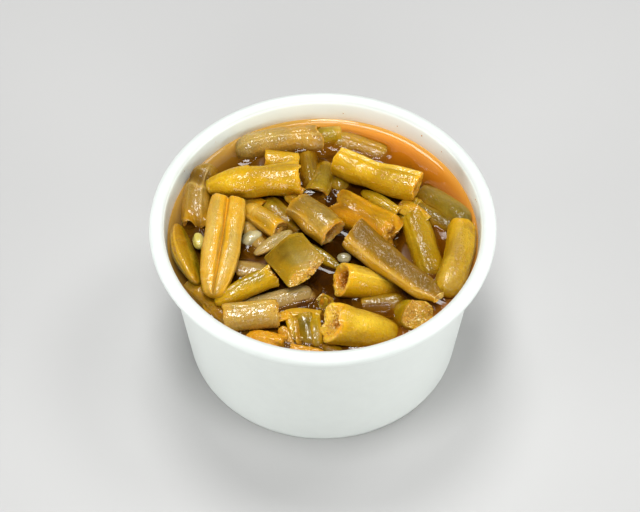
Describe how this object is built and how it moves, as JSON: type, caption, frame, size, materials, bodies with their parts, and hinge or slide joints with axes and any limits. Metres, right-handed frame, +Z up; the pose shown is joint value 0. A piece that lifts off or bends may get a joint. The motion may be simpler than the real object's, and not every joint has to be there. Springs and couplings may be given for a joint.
{
  "type": "paper cup of stewed green beans",
  "caption": "Squat white paper food cup with a rolled rim, filled with cut stewed green bean pods lying in an orange-brown broth.",
  "frame": {"origin": "centre of the ring that the cup stands on, at the surface", "axes": "+Z up along the cup's axis, -Y the side seen in front, +X to the right"},
  "size_m": [0.098, 0.098, 0.0543],
  "materials": {
    "cup_paper": "smooth coated white board",
    "broth": "wet and glossy",
    "skin_gold": "wet, cooked",
    "skin_amber": "wet, cooked",
    "skin_orange": "wet, cooked",
    "skin_brown": "wet, cooked",
    "skin_pale": "wet, cooked",
    "skin_olive": "wet, cooked",
    "skin_green": "wet, cooked",
    "seed": "wet, cooked"
  },
  "bodies": {
    "root": {"cup_wall": "cup_paper", "cup_base": "cup_paper", "broth": "broth", "pod_back_left": "skin_brown", "pod_back_right": "skin_amber", "pod_gold_tip": "skin_gold", "pod_behind_tip": "skin_gold", "pod_gold_tube": "skin_gold", "pod_green_back": "skin_green", "pod_left_wall": "skin_brown", "pod_split": "skin_pale", "pod_left_amber": "skin_amber", "pod_low_left": "skin_amber", "pod_olive_slim": "skin_olive", "pod_front_left": "skin_pale", "pod_grey_slim": "skin_pale", "pod_flat_fold": "skin_olive", "pod_green_strip": "skin_green", "pod_grey_strip": "skin_pale", "pod_pale": "skin_pale", "pod_under_left": "skin_pale", "pod_olive_under": "skin_olive", "pod_hollow_brown": "skin_brown", "pod_orange_wide": "skin_orange", "pod_strap": "skin_pale", "pod_green_gold": "skin_olive", "pod_right_wall": "skin_gold", "pod_dark_green": "skin_green", "pod_bud": "skin_olive", "pod_hollow_gold": "skin_gold", "pod_torn_gold": "skin_gold", "pod_end_on": "skin_olive", "pod_front_curl": "skin_amber", "pod_front_dark": "skin_green", "pod_front_orange": "skin_orange", "pod_dark_mid": "skin_olive", "seed_left": "seed", "seed_grey": "seed", "seed_mid": "seed"}
  },
  "joints": []
}
